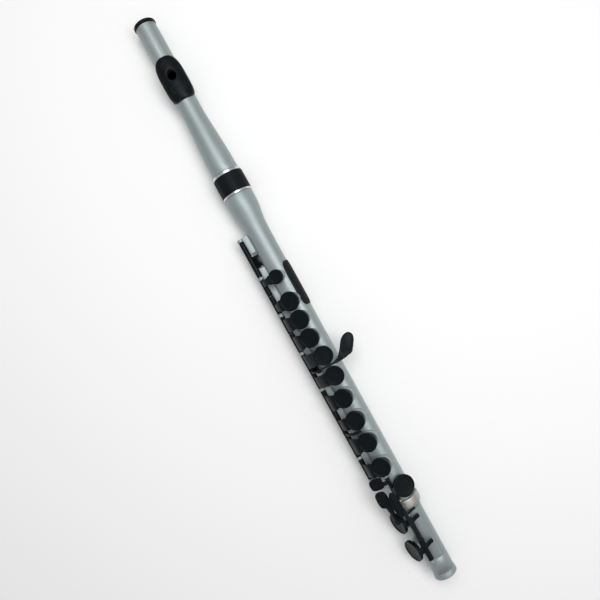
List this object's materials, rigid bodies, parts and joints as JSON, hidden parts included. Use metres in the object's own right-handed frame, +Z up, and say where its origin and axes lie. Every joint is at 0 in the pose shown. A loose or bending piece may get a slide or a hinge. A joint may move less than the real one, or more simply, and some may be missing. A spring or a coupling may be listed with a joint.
{
  "type": "concert flute",
  "caption": "Side-blown concert flute in moulded plastic with a black lip plate, silver-grey tube and black key cups on one long rod.",
  "frame": {"origin": "centre of the flute's box, on the surface it lies on", "axes": "+X from the crown to the foot end, +Y to the player's side, +Z up through the lip plate"},
  "size_m": [0.6738, 0.0624, 0.042],
  "materials": {
    "silver_plastic": "satin moulded",
    "black_plastic": "satin moulded",
    "pad_silicone": "smooth matt",
    "rod_steel": "ground",
    "collar_chrome": "polished",
    "seal_rubber": "matt",
    "grip_rubber": "matt moulded",
    "foot_nickel": "satin"
  },
  "bodies": {
    "body": {"body_tube": "silver_plastic", "barrel_collar": "black_plastic", "collar_ring_upper": "collar_chrome", "collar_ring_lower": "collar_chrome", "grip_pad": "grip_rubber", "thumb_rest": "black_plastic", "rib_trill": "silver_plastic", "rib_left_hand": "silver_plastic", "rib_right_hand": "silver_plastic", "thumb_bracket_upper": "silver_plastic", "thumb_bracket_lower": "silver_plastic", "thumb_rod": "rod_steel", "e_flat_rib": "silver_plastic", "e_flat_rod": "rod_steel"},
    "head_seals": {"head_seal_upper": "seal_rubber", "head_seal_lower": "seal_rubber"},
    "head": {"head_tube": "silver_plastic", "lip_plate": "black_plastic"},
    "crown": {"crown": "black_plastic"},
    "stopper": {"stopper_screw": "rod_steel", "stopper_plug": "black_plastic", "stopper_seal": "seal_rubber"},
    "trill_key": {"trill_rod": "rod_steel", "trill_cup_key": "black_plastic", "trill_pad": "pad_silicone", "trill_touch": "black_plastic"},
    "c_sharp_key": {"c_sharp_key": "black_plastic", "c_sharp_pad": "pad_silicone"},
    "c_key": {"c_key": "black_plastic", "c_pad": "pad_silicone"},
    "b_key": {"b_key": "black_plastic", "b_pad": "pad_silicone"},
    "a_key": {"a_key": "black_plastic", "a_pad": "pad_silicone"},
    "g_key": {"g_key": "black_plastic", "g_pad_upper": "pad_silicone", "g_pad_lower": "pad_silicone"},
    "g_sharp_key": {"g_sharp_key": "black_plastic", "g_sharp_pad": "pad_silicone"},
    "f_sharp_key": {"f_sharp_key": "black_plastic", "f_sharp_pad": "pad_silicone"},
    "f_key": {"f_key": "black_plastic", "f_pad": "pad_silicone"},
    "e_key": {"e_key": "black_plastic", "e_pad": "pad_silicone"},
    "d_key": {"d_key": "black_plastic", "d_pad": "pad_silicone"},
    "thumb_lever": {"thumb_lever": "black_plastic"},
    "e_flat_key": {"e_flat_key": "black_plastic", "e_flat_pad": "pad_silicone"},
    "foot": {"foot_tube": "silver_plastic", "foot_socket_ring": "foot_nickel", "foot_end_ring": "silver_plastic", "foot_rib": "silver_plastic", "foot_rod": "rod_steel"},
    "low_c_sharp_key": {"low_c_sharp_key": "black_plastic", "low_c_sharp_pad": "pad_silicone"},
    "low_c_key": {"low_c_key": "black_plastic", "low_c_pad": "pad_silicone"}
  },
  "joints": [
    {"name": "head_tuning_slide", "type": "slide", "parent": "body", "child": "head_seals", "axis": [-1, 0, 0], "range_m": [0, 0.015]},
    {"name": "head_turn", "type": "hinge", "parent": "head_seals", "child": "head", "pos_m": [-0.2169, -0.0037, 0.017], "axis": [1, 0, 0], "continuous": true},
    {"name": "crown_turn", "type": "hinge", "parent": "head", "child": "crown", "pos_m": [-0.3349, -0.0037, 0.017], "axis": [1, 0, 0], "range_deg": [-720, 720]},
    {"name": "stopper_slide", "type": "slide", "parent": "head", "child": "stopper", "axis": [1, 0, 0], "range_m": [-0.0015, 0.0015]},
    {"name": "c_sharp_key_press", "type": "hinge", "parent": "body", "child": "c_sharp_key", "pos_m": [-0.0308, -0.0254, 0.017], "axis": [-1, 0, 0], "range_deg": [0, 8], "stiffness_Nm_per_rad": 0.03, "springref_deg": -17.19},
    {"name": "c_key_press", "type": "hinge", "parent": "body", "child": "c_key", "pos_m": [-0.0014, -0.0254, 0.017], "axis": [-1, 0, 0], "range_deg": [0, 8], "stiffness_Nm_per_rad": 0.03, "springref_deg": -17.19},
    {"name": "b_key_press", "type": "hinge", "parent": "body", "child": "b_key", "pos_m": [0.0201, -0.0254, 0.017], "axis": [-1, 0, 0], "range_deg": [0, 8], "stiffness_Nm_per_rad": 0.03, "springref_deg": -17.19},
    {"name": "a_key_press", "type": "hinge", "parent": "body", "child": "a_key", "pos_m": [0.0427, -0.0254, 0.017], "axis": [-1, 0, 0], "range_deg": [0, 8], "stiffness_Nm_per_rad": 0.03, "springref_deg": -17.19},
    {"name": "g_key_press", "type": "hinge", "parent": "body", "child": "g_key", "pos_m": [0.0781, -0.0254, 0.017], "axis": [-1, 0, 0], "range_deg": [0, 8], "stiffness_Nm_per_rad": 0.03, "springref_deg": -17.19},
    {"name": "f_sharp_key_press", "type": "hinge", "parent": "body", "child": "f_sharp_key", "pos_m": [0.1147, -0.0254, 0.017], "axis": [-1, 0, 0], "range_deg": [0, 8], "stiffness_Nm_per_rad": 0.03, "springref_deg": -17.19},
    {"name": "f_key_press", "type": "hinge", "parent": "body", "child": "f_key", "pos_m": [0.141, -0.0254, 0.017], "axis": [-1, 0, 0], "range_deg": [0, 8], "stiffness_Nm_per_rad": 0.03, "springref_deg": -17.19},
    {"name": "e_key_press", "type": "hinge", "parent": "body", "child": "e_key", "pos_m": [0.1672, -0.0254, 0.017], "axis": [-1, 0, 0], "range_deg": [0, 8], "stiffness_Nm_per_rad": 0.03, "springref_deg": -17.19},
    {"name": "d_key_press", "type": "hinge", "parent": "body", "child": "d_key", "pos_m": [0.1971, -0.0254, 0.017], "axis": [-1, 0, 0], "range_deg": [0, 8], "stiffness_Nm_per_rad": 0.03, "springref_deg": -17.19},
    {"name": "g_sharp_press", "type": "hinge", "parent": "body", "child": "g_sharp_key", "pos_m": [0.07815, -0.0254, 0.017], "axis": [-1, 0, 0], "range_deg": [0, 6.5], "stiffness_Nm_per_rad": 0.03, "springref_deg": -17.19},
    {"name": "trill_press", "type": "hinge", "parent": "body", "child": "trill_key", "pos_m": [-0.0554, -0.0254, 0.017], "axis": [-1, 0, 0], "range_deg": [0, 7], "stiffness_Nm_per_rad": 0.03, "springref_deg": -17.19},
    {"name": "thumb_press", "type": "hinge", "parent": "body", "child": "thumb_lever", "pos_m": [-0.0019, -0.0132, 0.0026], "axis": [1, 0, 0], "range_deg": [0, 6.5], "stiffness_Nm_per_rad": 0.03, "springref_deg": -17.19},
    {"name": "e_flat_press", "type": "hinge", "parent": "body", "child": "e_flat_key", "pos_m": [0.2265, -0.01015, 0.03219], "axis": [1, 0, 0], "range_deg": [0, 10], "stiffness_Nm_per_rad": 0.03, "springref_deg": -17.19},
    {"name": "foot_slide", "type": "slide", "parent": "body", "child": "foot", "axis": [1, 0, 0], "range_m": [0, 0.01]},
    {"name": "low_c_sharp_press", "type": "hinge", "parent": "foot", "child": "low_c_sharp_key", "pos_m": [0.2637, -0.01015, 0.03219], "axis": [1, 0, 0], "range_deg": [0, 12], "stiffness_Nm_per_rad": 0.03, "springref_deg": -17.19},
    {"name": "low_c_press", "type": "hinge", "parent": "foot", "child": "low_c_key", "pos_m": [0.2971, -0.01015, 0.03219], "axis": [1, 0, 0], "range_deg": [0, 12], "stiffness_Nm_per_rad": 0.03, "springref_deg": -17.19}
  ],
  "couplings": [
    {"joint": "thumb_press", "follows": "c_key_press", "ratio": 0.8},
    {"joint": "b_key_press", "follows": "a_key_press", "ratio": 1},
    {"joint": "f_sharp_key_press", "follows": "f_key_press", "ratio": 1},
    {"joint": "crown_turn", "follows": "stopper_slide", "rad_per_m": 8377.5}
  ]
}
